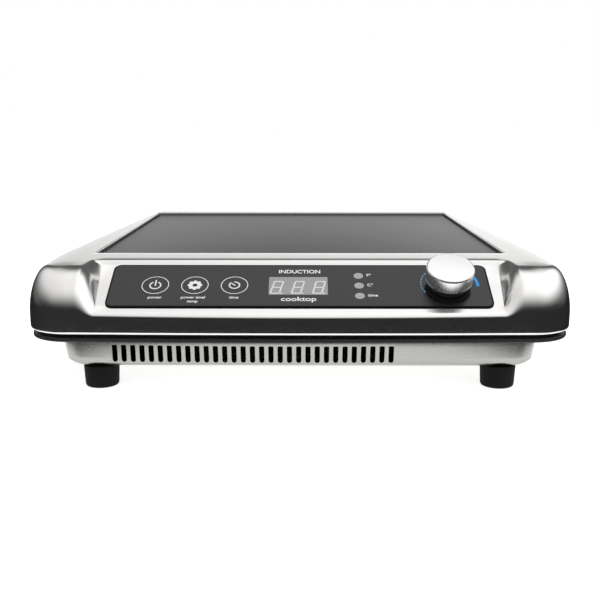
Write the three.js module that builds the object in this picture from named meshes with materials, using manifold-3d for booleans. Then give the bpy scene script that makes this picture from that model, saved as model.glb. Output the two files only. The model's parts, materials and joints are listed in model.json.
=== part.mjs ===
// Countertop electric induction cooktop, in millimetres, +Z up.
// The origin is at foot level in the middle of the footprint; the control panel faces -Y.
import * as THREE from "three";
import { mergeVertices } from "three/addons/utils/BufferGeometryUtils.js";
import Module from "manifold-3d";

const wasm = await Module();
wasm.setup();

// ---------------------------------------------------------------- driving dimensions

const WIDTH = 366;
const DEPTH = 385;
const RIM_Z = 82;               // flat top of the stamped shell
const SKIRT_Z = 40;             // lower edge of the stamped shell
const SHEET = 1.5;              // shell sheet thickness
const CURL = 2.4;               // how far the shell's lower edge curls under
const GAP = 0.3;                // clearance between pieces that touch

const OPENING = { half: 150, front: -109.5, rear: 172.5, radius: 2 };
const GLASS = { top: 80, thick: 4, inset: 3 };
const OPENING_Y = (OPENING.front + OPENING.rear) / 2;

const PANEL = {
  y: -165.9, z: 68.65, slope: THREE.MathUtils.degToRad(28),
  half: 127.6, halfHigh: 22.4, radius: 5, thick: 0.6,
};
const RECESS = { ridgeStart: -145.4, ridgeEnd: -142.6, roll: 2.2, drop: 2 };

const KEY_X = [-96.8, -70.2, -43.6];
const KEY = { radius: 9.35, thick: 2, travel: 0.4, stem: 2 };
const DISPLAY = { x: -0.8, y: -0.3, wide: 39.6, high: 19 };
const LENS = { x: 40, y: [10.6, 0, -10.8], radius: 3.35 };
const KNOB = { x: 99.8, y: 0.6, radius: 16, top: 15.2, bottom: 4.5, skirtRadius: 14.2, shaftRadius: 3 };

const TRIM = { bottom: 34.4, step: 37.2, top: 38.6, groove: 4 };
const TRAY = { floor: 15.5, bendTop: 18.6, wallTop: 33, sheet: 1.2, flangeBottom: 38.85, flangeTop: 39.75 };
const FOOT = { x: 135, front: -167.5, rear: 150, rearX: 124, top: 15.2, topRadius: 12, radius: 11.3 };
const SLOT = { count: 31, pitch: 6.13, first: -123, wide: 3.5, low: 19, high: 31 };

const FAN = { x: -82, y: 56, size: 92, bottom: 18, high: 25, bore: 42 };
const COIL = { radius: 90, inner: 26, turns: 10, bottom: 70.2, valley: 72.8, crest: 73.8 };
const GLAND = { x: -100, z: 25.4, bore: 4.75, thread: 6.5, flange: 8.6 };

// ---------------------------------------------------------------- materials

const paint = (color, roughness, metalness) =>
  new THREE.MeshStandardMaterial({ color, roughness, metalness });
const STEEL = paint(0xb9b7b4, 0.32, 1);
const TRAY_STEEL = paint(0xc6c6c2, 0.4, 0.9);
const SCREW_STEEL = paint(0xa8a8aa, 0.35, 1);
const ALUMINIUM = paint(0xe0e0e0, 0.25, 1);
const GLASS_BLACK = paint(0x17181a, 0.06, 0);
const OVERLAY = paint(0x2a2b2c, 0.35, 0);
const DISPLAY_GREY = paint(0xa9aaab, 0.4, 0);
const LENS_GREY = paint(0xa5a6a0, 0.4, 0);
const RUBBER = paint(0x101011, 0.85, 0);
const SILICONE = paint(0x1b1b1b, 0.6, 0);
const TRIM_GREY = paint(0x3a3b3c, 0.5, 0);
const BLACK_PLASTIC = paint(0x18181a, 0.5, 0);
const BOARD_GREEN = paint(0x1f5a35, 0.6, 0);
const COPPER = paint(0xb06a3c, 0.45, 0.6);
const FERRITE = paint(0x2c2c2e, 0.7, 0.1);
const MICA = paint(0xd9d2bd, 0.7, 0);
const NATURAL_PLASTIC = paint(0xcfcabb, 0.6, 0);

// ---------------------------------------------------------------- solids and booleans

function bareGeometry(geometry) {
  const bare = new THREE.BufferGeometry();
  bare.setAttribute("position", geometry.getAttribute("position").clone());
  if (geometry.index) bare.setIndex(geometry.index.clone());
  const merged = mergeVertices(bare, 1e-4);
  const index = [];
  for (let i = 0; i < merged.index.count; i += 3) {
    const [a, b, c] = [merged.index.getX(i), merged.index.getX(i + 1), merged.index.getX(i + 2)];
    if (a !== b && b !== c && c !== a) index.push(a, b, c);
  }
  merged.setIndex(index);
  return merged;
}

function toSolid(geometry) {
  const merged = bareGeometry(geometry);
  return new wasm.Manifold(new wasm.Mesh({
    numProp: 3,
    vertProperties: new Float32Array(merged.getAttribute("position").array),
    triVerts: new Uint32Array(merged.index.array),
  }));
}

function toGeometry(solid) {
  const mesh = solid.getMesh();
  const geometry = new THREE.BufferGeometry();
  geometry.setAttribute("position", new THREE.BufferAttribute(new Float32Array(mesh.vertProperties), 3));
  geometry.setIndex(new THREE.BufferAttribute(new Uint32Array(mesh.triVerts), 1));
  geometry.computeVertexNormals();
  return geometry;
}

function cut(base, tools) {
  return toGeometry(tools.reduce((solid, tool) => solid.subtract(toSolid(tool)), toSolid(base)));
}

function join(base, extras) {
  return toGeometry(extras.reduce((solid, extra) => solid.add(toSolid(extra)), toSolid(base)));
}

// Builds a closed surface through rings of points that all hold the same count. A ring list
// either closes on itself or is capped flat at both ends.
function loft(rings, closed) {
  const count = rings[0].length;
  const points = rings.flat();
  const index = [];
  const last = closed ? rings.length : rings.length - 1;
  for (let ring = 0; ring < last; ring += 1) {
    const next = (ring + 1) % rings.length;
    for (let i = 0; i < count; i += 1) {
      const j = (i + 1) % count;
      const [a, b, c, d] = [ring * count + i, ring * count + j, next * count + j, next * count + i];
      index.push(a, b, c, a, c, d);
    }
  }
  if (!closed) {
    for (const [ring, flip] of [[0, true], [rings.length - 1, false]]) {
      const centre = rings[ring].reduce((sum, p) => sum.add(p), new THREE.Vector3()).divideScalar(count);
      points.push(centre);
      for (let i = 0; i < count; i += 1) {
        const [a, b] = [ring * count + i, ring * count + ((i + 1) % count)];
        index.push(points.length - 1, flip ? b : a, flip ? a : b);
      }
    }
  }
  const geometry = new THREE.BufferGeometry().setFromPoints(points);
  geometry.setIndex(index);
  geometry.computeVertexNormals();
  return geometry;
}

function lathe(profile, segments = 24) {
  const points = profile.map(([r, z]) => new THREE.Vector2(r, z));
  const geometry = new THREE.LatheGeometry(points, segments);
  geometry.rotateX(Math.PI / 2);
  return geometry;
}

const washer = (outer, inner, low, high, segments) =>
  lathe([[inner, low], [outer, low], [outer, high], [inner, high], [inner, low]], segments);

const rod = (radius, low, high, segments = 16) =>
  lathe([[0, low], [radius, low], [radius, high], [0, high]], segments);

function box(x, y, z, wide, deep, high) {
  return new THREE.BoxGeometry(wide, deep, high).translate(x, y, z + high / 2);
}

function extrude(shape, depth, low, curveSegments = 5) {
  const geometry = new THREE.ExtrudeGeometry(shape, { depth, bevelEnabled: false, curveSegments });
  return geometry.translate(0, 0, low);
}

function polygon(points) {
  return new THREE.Shape(points.map(([x, y]) => new THREE.Vector2(x, y)));
}

// The corners of a regular polygon round the origin.
function turnedPoints(radius, sides) {
  return [...Array(sides)].map((_, i) => {
    const angle = (i * 2 * Math.PI) / sides;
    return [radius * Math.cos(angle), radius * Math.sin(angle)];
  });
}

function roundedRect(halfWide, halfHigh, radius) {
  const shape = new THREE.Shape();
  shape.moveTo(-halfWide + radius, -halfHigh);
  shape.absarc(halfWide - radius, -halfHigh + radius, radius, -Math.PI / 2, 0);
  shape.absarc(halfWide - radius, halfHigh - radius, radius, 0, Math.PI / 2);
  shape.absarc(-halfWide + radius, halfHigh - radius, radius, Math.PI / 2, Math.PI);
  shape.absarc(-halfWide + radius, -halfHigh + radius, radius, Math.PI, Math.PI * 1.5);
  return shape;
}

const circle = (x, y, radius) => new THREE.Path().absarc(x, y, radius, 0, Math.PI * 2);

// ---------------------------------------------------------------- plan outlines

// Every outline has the same stations, so any two can be joined point by point: the front from
// its middle, a front corner, the tapering side, a rear corner and the rear, then the mirror.
const FRONT_STEPS = [0, 0.45, 0.77, 0.88, 0.895, 0.91, 0.925, 0.94, 1];
const CORNER_STEPS = [0.25, 0.5, 0.75, 1];
const SIDE_STEPS = [0.15, 0.4, 0.7, 1];
const REAR_CORNER_STEPS = [0.5, 1];
const REAR_STEPS = [0];

function halfOutline({ half, front, bow = 0, radius, rear, rearRadius = radius, frontX, taper = () => 0 }) {
  const stations = [];
  const add = (x, y, nx, ny, zone, t) => {
    const length = Math.hypot(nx, ny);
    stations.push({ x, y, nx: nx / length, ny: ny / length, zone, t });
  };
  const lean = Math.atan((2 * bow) / (half - radius));
  const frontEnd = half - radius + radius * Math.sin(lean);
  FRONT_STEPS.forEach((step, i) => {
    const x = frontX && i < frontX.length ? frontX[i] : step * frontEnd;
    const t = x / frontEnd;
    add(x, front + bow * t * t, (2 * bow * t) / frontEnd, -1, "front", i);
  });
  const centreY = front + bow + radius * Math.cos(lean);
  for (const t of CORNER_STEPS) {
    const angle = lean + (Math.PI / 2 - lean) * t;
    const [nx, ny] = [Math.sin(angle), -Math.cos(angle)];
    add(half - radius + radius * nx, centreY + radius * ny, nx, ny, "corner", t);
  }
  const slopeAt = (y) => (taper(y + 0.5) - taper(y - 0.5));
  const rearLean = Math.atan(slopeAt(rear - rearRadius));
  const sideEnd = rear - rearRadius + rearRadius * Math.sin(rearLean);
  for (const t of SIDE_STEPS) {
    const y = centreY + (sideEnd - centreY) * t;
    add(half - taper(y), y, 1, slopeAt(y), "side", t);
  }
  const rearCentreX = half - taper(sideEnd) - rearRadius * Math.cos(rearLean);
  for (const t of REAR_CORNER_STEPS) {
    const angle = rearLean + (Math.PI / 2 - rearLean) * t;
    const [nx, ny] = [Math.cos(angle), Math.sin(angle)];
    add(rearCentreX + rearRadius * nx, rear - rearRadius + rearRadius * ny, nx, ny, "rearCorner", t);
  }
  for (const t of REAR_STEPS) add(rearCentreX * t, rear, 0, 1, "rear", 1 - t);
  return stations;
}

function outline(sizes) {
  const right = halfOutline(sizes);
  const left = right.slice(1, -1).reverse().map((s) => ({ ...s, x: -s.x, nx: -s.nx }));
  return [...right, ...left];
}

const ringAt = (stations, grow, z) =>
  stations.map((s) => new THREE.Vector3(s.x + s.nx * grow, s.y + s.ny * grow, z));

// The sides run straight to TAPER_START and then draw in towards the rear.
const TAPER_START = -118;
const bodyTaper = (y) => (y > TAPER_START ? 0.05 * (y - TAPER_START) ** 1.1 : 0);
const trayTaper = (y) => Math.max(0, (y + 160) * 0.055);

// The wall at each end of the panel recess lies between the stations WALL_FOOT and WALL_HEAD. Each
// front station runs from its place on the body line through one on the ridge to one on the opening.
const WALL_FOOT = 3;
const WALL_RISE = [0.3, 0.64, 0.9];
const WALL_HEAD = WALL_FOOT + WALL_RISE.length + 1;
const BODY_X = [0, 70, 118, 133, 136.4, 139.8, 143.1, 146.5];
const RIDGE_X = [0, 70, 118, 137.4, 139.5, 141.7, 143.8, 146, 150.5];
const OPENING_X = [0, 70, 118, 136, 138.5, 141, 143.5, 146];

const BODY_LINE = outline({
  half: WIDTH / 2, front: -DEPTH / 2, bow: 2, radius: 31,
  rear: DEPTH / 2, rearRadius: 8, frontX: BODY_X, taper: bodyTaper,
});
const OPENING_LINE = outline({ ...OPENING, frontX: OPENING_X });
const TRIM_LINE = outline({
  half: 181.8, front: -189.8, bow: 2.5, radius: 29, rear: 189.5, rearRadius: 8, taper: bodyTaper,
});
const trayLine = (half, front, bow, radius, rear) =>
  outline({ half, front, bow, radius, rear, rearRadius: radius, taper: trayTaper });
const TRAY_TOP_LINE = trayLine(162.7, -184.5, 5.7, 22, 181);

// ---------------------------------------------------------------- stamped shell

const smooth = (from, to, x) => THREE.MathUtils.smoothstep(x, from, to);
const lerp = THREE.MathUtils.lerp;

const quarterDrop = (inset, run, fall) => {
  const t = 1 - Math.min(1, inset / run);
  return fall * (1 - Math.sqrt(1 - t * t));
};

// How far the edge roll reaches in from the outline and how far it falls, station by station.
function rollSize(station) {
  const front = { run: 27, fall: 28 };
  const side = { run: 14, fall: 33 };
  const rear = { run: 4.5, fall: 10 };
  if (station.zone === "front") return front;
  if (station.zone === "corner") {
    const t = smooth(0, 1, station.t);
    return { run: lerp(front.run, side.run, t), fall: lerp(front.fall, side.fall, t) };
  }
  if (station.zone === "side") {
    return { run: lerp(side.run, rear.run, station.t), fall: lerp(side.fall, rear.fall, station.t) };
  }
  return rear;
}

// The sloped recess for the control panel: a flat floor, a front roll and a wall up to the rim.
function recessHeight(y, inset, sheet) {
  const floorDrop = (PANEL.thick + GAP + sheet) / Math.cos(PANEL.slope);
  const floor = PANEL.z + (y - PANEL.y) * Math.tan(PANEL.slope) - floorDrop;
  const rise = smooth(RECESS.ridgeStart, RECESS.ridgeEnd, y);
  return lerp(floor - quarterDrop(inset, RECESS.roll, RECESS.drop), RIM_Z - sheet, rise);
}

// How far up the recess wall a station lies: 0 on the recess floor, 1 on the shoulder.
function wallRise(station) {
  if (station.zone !== "front" || station.t >= WALL_HEAD) return 1;
  return station.t <= WALL_FOOT ? 0 : WALL_RISE[station.t - WALL_FOOT - 1];
}

function shellHeight(station, inset, y, sheet) {
  const { run, fall } = rollSize(station);
  const rim = RIM_Z - sheet - quarterDrop(inset - sheet, run - sheet, fall - sheet);
  return lerp(recessHeight(y, inset - sheet, sheet), rim, wallRise(station));
}

// The x at which a front station's line passes this y.
function frontLineX(body, inner, y) {
  const ridgeX = Math.sign(body.x) * RIDGE_X[body.t];
  const ridgeY = RECESS.ridgeEnd;
  if (y < ridgeY) return THREE.MathUtils.mapLinear(y, body.y, ridgeY, body.x, ridgeX);
  return THREE.MathUtils.mapLinear(y, ridgeY, inner.y, ridgeX, inner.x);
}

const ROLL_STEPS = [0, 0.03, 0.12, 0.3, 0.55, 0.8, 1];
const RIDGE_STEPS = [0, 0.33, 0.67, 1];
const FLAT_STEPS = [0.7, 0.98];

function shellRow(body, inner, sheet) {
  const { run } = rollSize(body);
  const isFront = body.zone === "front";
  const point = (x, y, inset) =>
    new THREE.Vector3(isFront ? frontLineX(body, inner, y) : x, y, shellHeight(body, inset, y, sheet));
  const roll = ROLL_STEPS.map((t) => {
    const inset = lerp(sheet, run, t);
    return point(body.x - body.nx * inset, body.y - body.ny * inset, inset);
  });
  const start = [body.x - body.nx * run, body.y - body.ny * run];
  const end = [inner.x + inner.nx * sheet, inner.y + inner.ny * sheet];
  const ridge = RIDGE_STEPS.map((t) => {
    const y = lerp(RECESS.ridgeStart, RECESS.ridgeEnd, t);
    return isFront ? (y - start[1]) / (end[1] - start[1]) : 0.4 + 0.06 * t;
  });
  const top = [...ridge, ...FLAT_STEPS].map((t) =>
    point(lerp(start[0], end[0], t), lerp(start[1], end[1], t), run));
  return [...roll, ...top];
}

function shellSection(body, inner, tray) {
  const at = (s, grow, z) => new THREE.Vector3(s.x + s.nx * grow, s.y + s.ny * grow, z);
  const flangeBottom = 72;
  return [
    at(body, -CURL, SKIRT_Z),
    at(body, -0.3 * CURL, SKIRT_Z + 0.3 * CURL),
    at(body, 0, SKIRT_Z + CURL),
    ...shellRow(body, inner, 0),
    at(inner, 0, RIM_Z - 0.7),
    at(inner, 0, flangeBottom),
    at(inner, SHEET, flangeBottom),
    ...shellRow(body, inner, SHEET).reverse(),
    at(body, -SHEET, SKIRT_Z + SHEET + 0.7 * CURL),
    at(body, -SHEET - 0.7 * CURL, SKIRT_Z + SHEET),
    at(tray, GAP + 0.5, SKIRT_Z + SHEET),
    at(tray, GAP + 0.5, SKIRT_Z),
  ];
}

function panelPlace(geometry) {
  return geometry.rotateX(PANEL.slope).translate(0, PANEL.y, PANEL.z);
}

const SCREW_PLACES = [[169.5, -140], [-169.5, -140], [149, 165], [-149, 165]];
const screwHoles = (radius, low, high) =>
  SCREW_PLACES.map(([x, y]) => rod(radius, low, high, 10).translate(x, y, 0));

function topShell() {
  const sections = BODY_LINE.map((body, i) => shellSection(body, OPENING_LINE[i], TRAY_TOP_LINE[i]));
  const shell = loft(sections.reverse(), true);
  const deep = [-6, 3];
  const cuts = [
    ...KEY_X.map((x) => rod(KEY.radius + 0.8, ...deep, 12).translate(x, 0, 0)),
    ...LENS.y.map((y) => rod(LENS.radius + 0.5, ...deep, 8).translate(LENS.x, y, 0)),
    rod(5.2, ...deep, 10).translate(KNOB.x, KNOB.y, 0),
    box(DISPLAY.x, DISPLAY.y, deep[0], DISPLAY.wide + 2, DISPLAY.high + 2, 9),
  ].map(panelPlace);
  return cut(shell, [...cuts, ...screwHoles(2.2, SKIRT_Z - 3, SKIRT_Z + 5)]);
}

// ---------------------------------------------------------------- glass and its seat

function glassTop() {
  const half = OPENING.half - GLASS.inset;
  const halfDeep = (OPENING.rear - OPENING.front) / 2 - GLASS.inset;
  const edge = 0.6;
  const shape = roundedRect(half - edge, halfDeep - edge, 1.2);
  const geometry = new THREE.ExtrudeGeometry(shape, {
    depth: GLASS.thick - 2 * edge, bevelThickness: edge, bevelSize: edge, bevelSegments: 1, curveSegments: 4,
  });
  return geometry.translate(0, OPENING_Y, GLASS.top - GLASS.thick + edge);
}

const openingRing = (inset, z) => {
  const radius = Math.max(0.8, OPENING.radius - inset);
  return ringAt(outline({
    half: OPENING.half - inset, front: OPENING.front + inset, rear: OPENING.rear - inset, radius,
  }), 0, z);
};

function glassGasket() {
  const [low, lip, high] = [GLASS.top - GLASS.thick - 1.7, GLASS.top - GLASS.thick - GAP, GLASS.top - 0.5];
  return loft([
    openingRing(8, low), openingRing(GAP, low), openingRing(GAP, high),
    openingRing(GLASS.inset - GAP, high), openingRing(GLASS.inset - GAP, lip), openingRing(8, lip),
  ], true);
}

function glassSupportFrame() {
  return loft([
    openingRing(14, 72.2), openingRing(GAP, 72.2), openingRing(GAP, 73.9), openingRing(14, 73.9),
  ], true);
}

// ---------------------------------------------------------------- base

function baseTrim() {
  const edge = 0.6;
  const rings = [
    ringAt(TRIM_LINE, -edge, TRIM.bottom), ringAt(TRIM_LINE, 0, TRIM.bottom + edge),
    ringAt(TRIM_LINE, 0, TRIM.step - edge), ringAt(TRIM_LINE, -edge, TRIM.step),
    ringAt(TRIM_LINE, -TRIM.groove, TRIM.step), ringAt(TRIM_LINE, -TRIM.groove, TRIM.top),
    ringAt(TRAY_TOP_LINE, GAP, TRIM.top), ringAt(TRAY_TOP_LINE, GAP, TRIM.bottom),
  ];
  return cut(loft(rings, true), screwHoles(2.2, TRIM.bottom - 3, TRIM.top + 3));
}

function trayBody() {
  const sheet = TRAY.sheet;
  const floor = trayLine(152, -175.5, 0.5, 12, 177);
  const bend = trayLine(155.8, -179, 1.4, 15, 178.8);
  const low = trayLine(159, -181.4, 3, 18, 180.2);
  const rings = [
    ringAt(floor, 0, TRAY.floor), ringAt(bend, 0, 16.6), ringAt(low, 0, TRAY.bendTop),
    ringAt(TRAY_TOP_LINE, 0, TRAY.wallTop), ringAt(TRAY_TOP_LINE, 0, TRAY.flangeBottom),
    ringAt(TRIM_LINE, -TRIM.groove - GAP, TRAY.flangeBottom),
    ringAt(TRIM_LINE, -TRIM.groove - GAP, TRAY.flangeTop),
    ringAt(TRAY_TOP_LINE, -sheet, TRAY.flangeTop), ringAt(TRAY_TOP_LINE, -sheet, TRAY.wallTop),
    ringAt(low, -sheet, TRAY.bendTop), ringAt(floor, -sheet, TRAY.floor + sheet),
  ];
  return loft(rings, false);
}

const FOOT_PLACES = [
  ["front_left", -FOOT.x, FOOT.front], ["front_right", FOOT.x, FOOT.front],
  ["rear_left", -FOOT.rearX, FOOT.rear], ["rear_right", FOOT.rearX, FOOT.rear],
];

function bottomTray() {
  const cuts = [];
  const slotHigh = SLOT.high - SLOT.low;
  for (let i = 0; i < SLOT.count; i += 1) {
    cuts.push(box(SLOT.first + i * SLOT.pitch, -183, SLOT.low, SLOT.wide, 24, slotHigh));
  }
  for (let i = 0; i < 14; i += 1) cuts.push(box(-10 + i * 8, 180, 20, 3, 20, 11));
  for (let i = 0; i < 9; i += 1) {
    const off = (i - 4) * 9;
    const reach = Math.sqrt((FAN.bore - 2) ** 2 - off ** 2);
    cuts.push(box(FAN.x + off, FAN.y, TRAY.floor - 2, 4, 2 * reach, 6));
  }
  for (const [, x, y] of FOOT_PLACES) {
    cuts.push(rod(2.6, TRAY.floor - 2, TRAY.floor + 4, 10).translate(x, y, 0));
  }
  cuts.push(rod(GLAND.thread + GAP, 160, 200).rotateX(-Math.PI / 2).translate(GLAND.x, 0, GLAND.z));
  return cut(trayBody(), [...cuts, ...screwHoles(2.2, TRAY.flangeBottom - 2, TRAY.flangeTop + 2)]);
}

function foot() {
  return lathe([
    [2.6, 6], [5.2, 6], [5.2, 0], [9.9, 0], [FOOT.radius, 1.6], [FOOT.topRadius, FOOT.top],
    [2.6, FOOT.top], [2.6, 6],
  ], 18);
}

const footScrew = () => lathe([[0, 3], [4.4, 3], [4.4, 5.6], [2.2, 5.6], [2.2, 21], [0, 21]], 9);

const caseScrew = () =>
  lathe([[0, 32.2], [3.4, 32.2], [3.4, 34], [1.8, 34], [1.8, 45], [0, 45]], 9);

function cordGland() {
  const profile = [
    [GLAND.bore, 174], [GLAND.thread, 174], [GLAND.thread, 181.6], [GLAND.flange, 181.6],
    [GLAND.flange, 185.5], [7.6, 190.5], [GLAND.bore, 190.5], [GLAND.bore, 174],
  ];
  return lathe(profile, 20).rotateX(-Math.PI / 2);
}

function hexNut(across, bore, low, high) {
  const radius = across / Math.sqrt(3);
  const shape = polygon(turnedPoints(radius, 6));
  shape.holes.push(circle(0, 0, bore));
  return extrude(shape, high - low, low, 8);
}

// ---------------------------------------------------------------- control panel, keys and knob

function controlPanel() {
  const { half, halfHigh, radius } = PANEL;
  const shape = new THREE.Shape();
  const corners = [[-half, -halfHigh], [half, -halfHigh], [half, halfHigh], [-half, halfHigh]];
  corners.forEach(([x, y], i) => {
    const start = -Math.PI + (i * Math.PI) / 2;
    shape.absarc(x - Math.sign(x) * radius, y - Math.sign(y) * radius, radius, start, start + Math.PI / 2);
  });
  for (const x of KEY_X) shape.holes.push(circle(x, 0, KEY.radius + GAP));
  for (const y of LENS.y) shape.holes.push(circle(LENS.x, y, LENS.radius + GAP));
  shape.holes.push(circle(KNOB.x, KNOB.y, 8.2));
  const [w, h] = [DISPLAY.wide / 2 + GAP, DISPLAY.high / 2 + GAP];
  shape.holes.push(new THREE.Path([
    [-w, -h], [w, -h], [w, h], [-w, h],
  ].map(([x, y]) => new THREE.Vector2(DISPLAY.x + x, DISPLAY.y + y))));
  return extrude(shape, PANEL.thick, -PANEL.thick, 7);
}

const keyCap = () => rod(KEY.radius, -KEY.thick, 0, 20);
const keyStem = () => rod(KEY.stem, -7.7, -KEY.thick - GAP, 8);
const displayWindow = () => extrude(roundedRect(DISPLAY.wide / 2, DISPLAY.high / 2, 0.6), 1.6, -1.7, 2);
const indicatorLens = () => rod(LENS.radius, -1.6, -0.1, 14);

function knobCap() {
  return lathe([
    [0, KNOB.top], [14.8, KNOB.top], [15.8, KNOB.top - 1], [KNOB.radius, KNOB.top - 1.4], [15.9, 5.6],
    [15.3, KNOB.bottom],
    [KNOB.shaftRadius + GAP, KNOB.bottom], [KNOB.shaftRadius + GAP, 12], [0, 12],
  ].reverse(), 28);
}

function knobSkirt() {
  const inner = KNOB.shaftRadius + GAP;
  return lathe([
    [inner, 2.6], [9, 2.6], [9, 0.35], [KNOB.skirtRadius - 0.3, 0.35], [KNOB.skirtRadius, KNOB.bottom - GAP],
    [inner, KNOB.bottom - GAP], [inner, 2.6],
  ], 24);
}

function encoderBody() {
  const housing = join(box(0, 0, -9.6, 13, 13, 5.4), [rod(4.6, -5, -0.2)]);
  return cut(housing, [rod(KNOB.shaftRadius + GAP, -8.3, 3)]);
}

function controlBoard() {
  const board = box(0, 0, -11.6, 232, 33, 1.6);
  const switches = KEY_X.map((x) => box(x, 0, -10.2, 6, 6, 1.9));
  const lamps = LENS.y.map((y) => rod(2.4, -10.2, -3, 8).translate(LENS.x, y, 0));
  return join(board, [...switches, ...lamps]);
}

function boardBracket() {
  const [out, inside, top, low] = [18.6, 17.4, -3.2, -14.6];
  const profile = polygon([
    [-out, low], [out, low], [out, top], [inside, top], [inside, low + 1.2], [-inside, low + 1.2],
    [-inside, top], [-out, top],
  ]);
  const channel = extrude(profile, 238, -119).rotateX(Math.PI / 2).rotateZ(Math.PI / 2);
  return cut(channel, [box(60, 0, low - 2, 22, 6, 6)]);
}

// ---------------------------------------------------------------- induction coil

// A closely wound pancake of stranded wire: a flat disc whose upper face is ridged turn by turn.
function coilWinding() {
  const pitch = (COIL.radius - COIL.inner) / COIL.turns;
  const profile = [[COIL.inner, COIL.bottom], [COIL.radius, COIL.bottom], [COIL.radius, COIL.valley]];
  for (let turn = COIL.turns - 1; turn >= 0; turn -= 1) {
    const start = COIL.inner + turn * pitch;
    profile.push([start + pitch / 2, COIL.crest], [start, COIL.valley]);
  }
  return lathe([...profile, profile[0]], 32);
}

function coilFormer() {
  const plate = washer(98, 21, 67.6, 69.8, 28);
  const extras = [box(0, 0, 67.6, 44, 8, 2.2)];
  for (let i = 0; i < 4; i += 1) {
    const angle = Math.PI / 4 + (i * Math.PI) / 2;
    extras.push(box(0, 0, 67.6, 24, 12, 2.2).translate(104, 0, 0).rotateZ(angle));
    extras.push(rod(4.5, 17.2, 68, 8).translate(111, 0, 0).rotateZ(angle));
  }
  return join(plate, extras);
}

const ferriteBar = () => box(56, 0, 62.2, 62, 13, 5);
const micaSheet = () => washer(96, 9, 74.2, 75.2, 28);
const temperatureSensor = () => lathe([[0, 70.2], [5.5, 70.2], [5.5, 72], [4, 73], [4, 75.6], [0, 75.6]], 10);

// A round lead along a smooth route through the given points.
function lead(points, radius, steps, sides) {
  const curve = new THREE.CatmullRomCurve3(points.map((p) => new THREE.Vector3(...p)));
  return new THREE.ExtrudeGeometry(polygon(turnedPoints(radius, sides)), { steps, extrudePath: curve });
}

const outerLead = () => lead([
  [90.4, OPENING_Y, 72.1], [97.5, OPENING_Y, 72.2], [102.4, OPENING_Y, 68.5], [102.3, OPENING_Y, 50],
  [98, OPENING_Y, 34], [94, OPENING_Y, 27.2],
], 1.9, 10, 6);

const innerLead = () => lead([
  [0, OPENING_Y + 25.6, 72], [0, OPENING_Y + 18, 71.4], [0, OPENING_Y + 14, 66], [8, OPENING_Y + 14, 59.5],
  [44, OPENING_Y + 14, 59.6], [66, OPENING_Y + 20, 55], [74, OPENING_Y + 24, 27.8],
], 1.9, 16, 6);

// ---------------------------------------------------------------- fan and power electronics

function fanFrame() {
  const half = FAN.size / 2;
  const shape = roundedRect(half, half, 5);
  shape.holes.push(circle(0, 0, FAN.bore));
  const frame = extrude(shape, FAN.high, FAN.bottom, 8);
  const hub = rod(15, FAN.bottom + 1, FAN.bottom + 3.2, 20);
  const struts = [0, 1, 2].map((i) =>
    box(29, 0, FAN.bottom + 1, 30, 4, 2.2).rotateZ(Math.PI / 2 + (i * 2 * Math.PI) / 3));
  return join(frame, [hub, ...struts]);
}

function fanRotor() {
  const hub = rod(15.5, FAN.bottom + 3.7, FAN.bottom + FAN.high - 1.2, 20);
  const blade = () => box(0, 0, -0.8, 26, 17, 1.6).rotateX(0.75).translate(27, 0, FAN.bottom + 14);
  const blades = [...Array(7)].map((_, i) => blade().rotateZ((i * 2 * Math.PI) / 7));
  return join(hub, blades);
}

function powerBoard() {
  const pillarHole = rod(6, 20, 30, 10).translate(78.5, OPENING_Y - 78.5, 0);
  const board = cut(box(62, 15, 24, 136, 174, 1.6), [pillarHole]);
  const parts = [
    box(112, -50, 25, 20, 16, 16), box(20, 84, 25, 28, 10, 10), box(112, 82, 25, 24, 12, 12),
    rod(9, 25, 45, 14).translate(30, -52, 0), rod(7, 25, 41, 14).translate(52, -54, 0),
    box(62, -60, 25, 22, 6, 8),
  ];
  const standoffs = [[0, -64], [124, -64], [0, 94], [124, 94]].map(([x, y]) =>
    rod(3, 17.1, 25, 8).translate(x, y, 0));
  return join(board, [...parts, ...standoffs]);
}

function heatSink() {
  const [wide, base, high, fins] = [62, 5, 28, 9];
  const pitch = (wide - 1.6) / (fins - 1);
  const points = [[wide, 0], [0, 0]];
  for (let i = 0; i < fins; i += 1) {
    const x = i * pitch;
    points.push([x, high], [x + 1.6, high]);
    if (i < fins - 1) points.push([x + 1.6, base], [x + pitch, base]);
  }
  const comb = extrude(polygon(points.reverse()), 92, -46).rotateX(Math.PI / 2);
  return comb.translate(-4, 24, 26);
}

function semiconductor(x, y) {
  return join(box(x, y, 27.2, 4.6, 15.6, 20), [box(x, y, 26, 1.2, 9, 2)]);
}

const resonantCapacitor = () => box(118, 18, 26, 18, 34, 26);
const filterChoke = () => new THREE.TorusGeometry(12, 5, 8, 14).translate(90, -22, 31.2);
const mainsTerminal = () => join(box(-102, 146, 17.2, 30, 12, 9), [box(-102, 146, 26, 26, 5, 5)]);

function controlRibbon() {
  const curve = new THREE.CatmullRomCurve3([
    [60, -159.6, 57.6], [60, -157.6, 53.2], [60, -140, 38], [60, -110, 36], [60, -76, 38], [60, -66.5, 30],
  ].map((p) => new THREE.Vector3(...p)));
  const strip = polygon([[-8, -0.5], [8, -0.5], [8, 0.5], [-8, 0.5]]);
  return new THREE.ExtrudeGeometry(strip, { steps: 14, extrudePath: curve });
}

// ---------------------------------------------------------------- assembly

const cooktop = new THREE.Group();
const panel = new THREE.Group();
panel.position.set(0, PANEL.y, PANEL.z);
panel.rotation.x = PANEL.slope;
const coil = new THREE.Group();
coil.position.set(0, OPENING_Y, 0);
cooktop.add(panel, coil);

function place(parent, name, geometry, material, position = [0, 0, 0], turn = 0) {
  const mesh = new THREE.Mesh(geometry, material);
  mesh.name = name;
  mesh.position.set(...position);
  mesh.rotation.z = turn;
  parent.add(mesh);
}

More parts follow.
